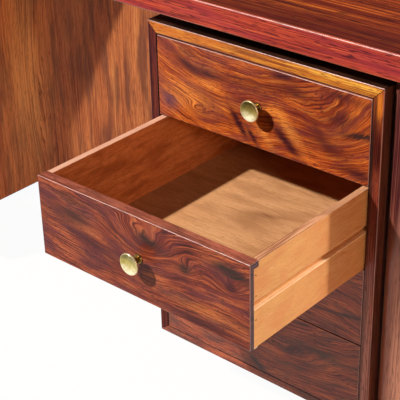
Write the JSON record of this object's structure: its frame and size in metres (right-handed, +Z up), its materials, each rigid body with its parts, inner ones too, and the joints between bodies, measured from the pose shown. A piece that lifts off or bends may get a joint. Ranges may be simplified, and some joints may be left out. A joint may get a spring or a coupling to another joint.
{
  "type": "executive desk",
  "caption": "Rosewood desk: a thick top on straight turned legs, over a pedestal of sliding drawers at each end, with brass knobs and an open kneehole",
  "frame": {"origin": "on the floor, under the middle of the whole desk's box with one drawer standing open", "axes": "+X along the desk to the sitter's right, -Y towards the sitter, +Z up"},
  "size_m": [1.54, 1.017, 0.745],
  "materials": {
    "rosewood_top": "gloss lacquer",
    "rosewood_carcass": "gloss lacquer",
    "rosewood_figured": "gloss lacquer",
    "rosewood_solid": "gloss lacquer",
    "drawer_wood": "satin, sanded",
    "drawer_floor_ply": "matt, sanded",
    "batten_wood": "dark stain",
    "brass": "turned and polished"
  },
  "bodies": {
    "desk": {"desk_top": "rosewood_top", "front_left_leg": "rosewood_solid", "front_right_leg": "rosewood_solid", "back_left_leg": "rosewood_solid", "back_right_leg": "rosewood_solid", "left_front_top_batten": "batten_wood", "left_back_top_batten": "batten_wood", "left_pedestal_inner_side": "rosewood_carcass", "left_pedestal_outer_side": "rosewood_carcass", "left_pedestal_top": "rosewood_carcass", "left_pedestal_bottom": "rosewood_carcass", "left_pedestal_back": "rosewood_carcass", "right_front_top_batten": "batten_wood", "right_back_top_batten": "batten_wood", "right_pedestal_inner_side": "rosewood_carcass", "right_pedestal_outer_side": "rosewood_carcass", "right_pedestal_top": "rosewood_carcass", "right_pedestal_bottom": "rosewood_carcass", "right_pedestal_back": "rosewood_carcass"},
    "left_drawer_1": {"left_drawer_1_front": "rosewood_figured", "left_drawer_1_box": "drawer_wood", "left_drawer_1_floor": "drawer_floor_ply", "left_drawer_1_knob": "brass"},
    "left_drawer_2": {"left_drawer_2_front": "rosewood_figured", "left_drawer_2_box": "drawer_wood", "left_drawer_2_floor": "drawer_floor_ply", "left_drawer_2_knob": "brass"},
    "left_drawer_3": {"left_drawer_3_front": "rosewood_figured", "left_drawer_3_box": "drawer_wood", "left_drawer_3_floor": "drawer_floor_ply", "left_drawer_3_knob": "brass"},
    "left_drawer_4": {"left_drawer_4_front": "rosewood_figured", "left_drawer_4_box": "drawer_wood", "left_drawer_4_floor": "drawer_floor_ply", "left_drawer_4_knob": "brass"},
    "right_drawer_1": {"right_drawer_1_front": "rosewood_figured", "right_drawer_1_left_side": "drawer_wood", "right_drawer_1_right_side": "drawer_wood", "right_drawer_1_back": "drawer_wood", "right_drawer_1_floor": "drawer_floor_ply", "right_drawer_1_knob": "brass"},
    "right_drawer_2": {"right_drawer_2_front": "rosewood_figured", "right_drawer_2_left_side": "drawer_wood", "right_drawer_2_right_side": "drawer_wood", "right_drawer_2_back": "drawer_wood", "right_drawer_2_floor": "drawer_floor_ply", "right_drawer_2_knob": "brass"},
    "right_drawer_3": {"right_drawer_3_front": "rosewood_figured", "right_drawer_3_left_side": "drawer_wood", "right_drawer_3_right_side": "drawer_wood", "right_drawer_3_back": "drawer_wood", "right_drawer_3_floor": "drawer_floor_ply", "right_drawer_3_knob": "brass"},
    "right_drawer_4": {"right_drawer_4_front": "rosewood_figured", "right_drawer_4_left_side": "drawer_wood", "right_drawer_4_right_side": "drawer_wood", "right_drawer_4_back": "drawer_wood", "right_drawer_4_floor": "drawer_floor_ply", "right_drawer_4_knob": "brass"}
  },
  "joints": [
    {"name": "left_drawer_1_slide", "type": "slide", "parent": "desk", "child": "left_drawer_1", "axis": [0, -1, 0], "range_m": [0, 0.45]},
    {"name": "left_drawer_2_slide", "type": "slide", "parent": "desk", "child": "left_drawer_2", "axis": [0, -1, 0], "range_m": [0, 0.45]},
    {"name": "left_drawer_3_slide", "type": "slide", "parent": "desk", "child": "left_drawer_3", "axis": [0, -1, 0], "range_m": [0, 0.45]},
    {"name": "left_drawer_4_slide", "type": "slide", "parent": "desk", "child": "left_drawer_4", "axis": [0, -1, 0], "range_m": [0, 0.45]},
    {"name": "right_drawer_1_slide", "type": "slide", "parent": "desk", "child": "right_drawer_1", "axis": [0, -1, 0], "range_m": [0, 0.45]},
    {"name": "right_drawer_2_slide", "type": "slide", "parent": "desk", "child": "right_drawer_2", "axis": [0, -1, 0], "range_m": [-0.259, 0.191]},
    {"name": "right_drawer_3_slide", "type": "slide", "parent": "desk", "child": "right_drawer_3", "axis": [0, -1, 0], "range_m": [0, 0.45]},
    {"name": "right_drawer_4_slide", "type": "slide", "parent": "desk", "child": "right_drawer_4", "axis": [0, -1, 0], "range_m": [0, 0.45]}
  ]
}
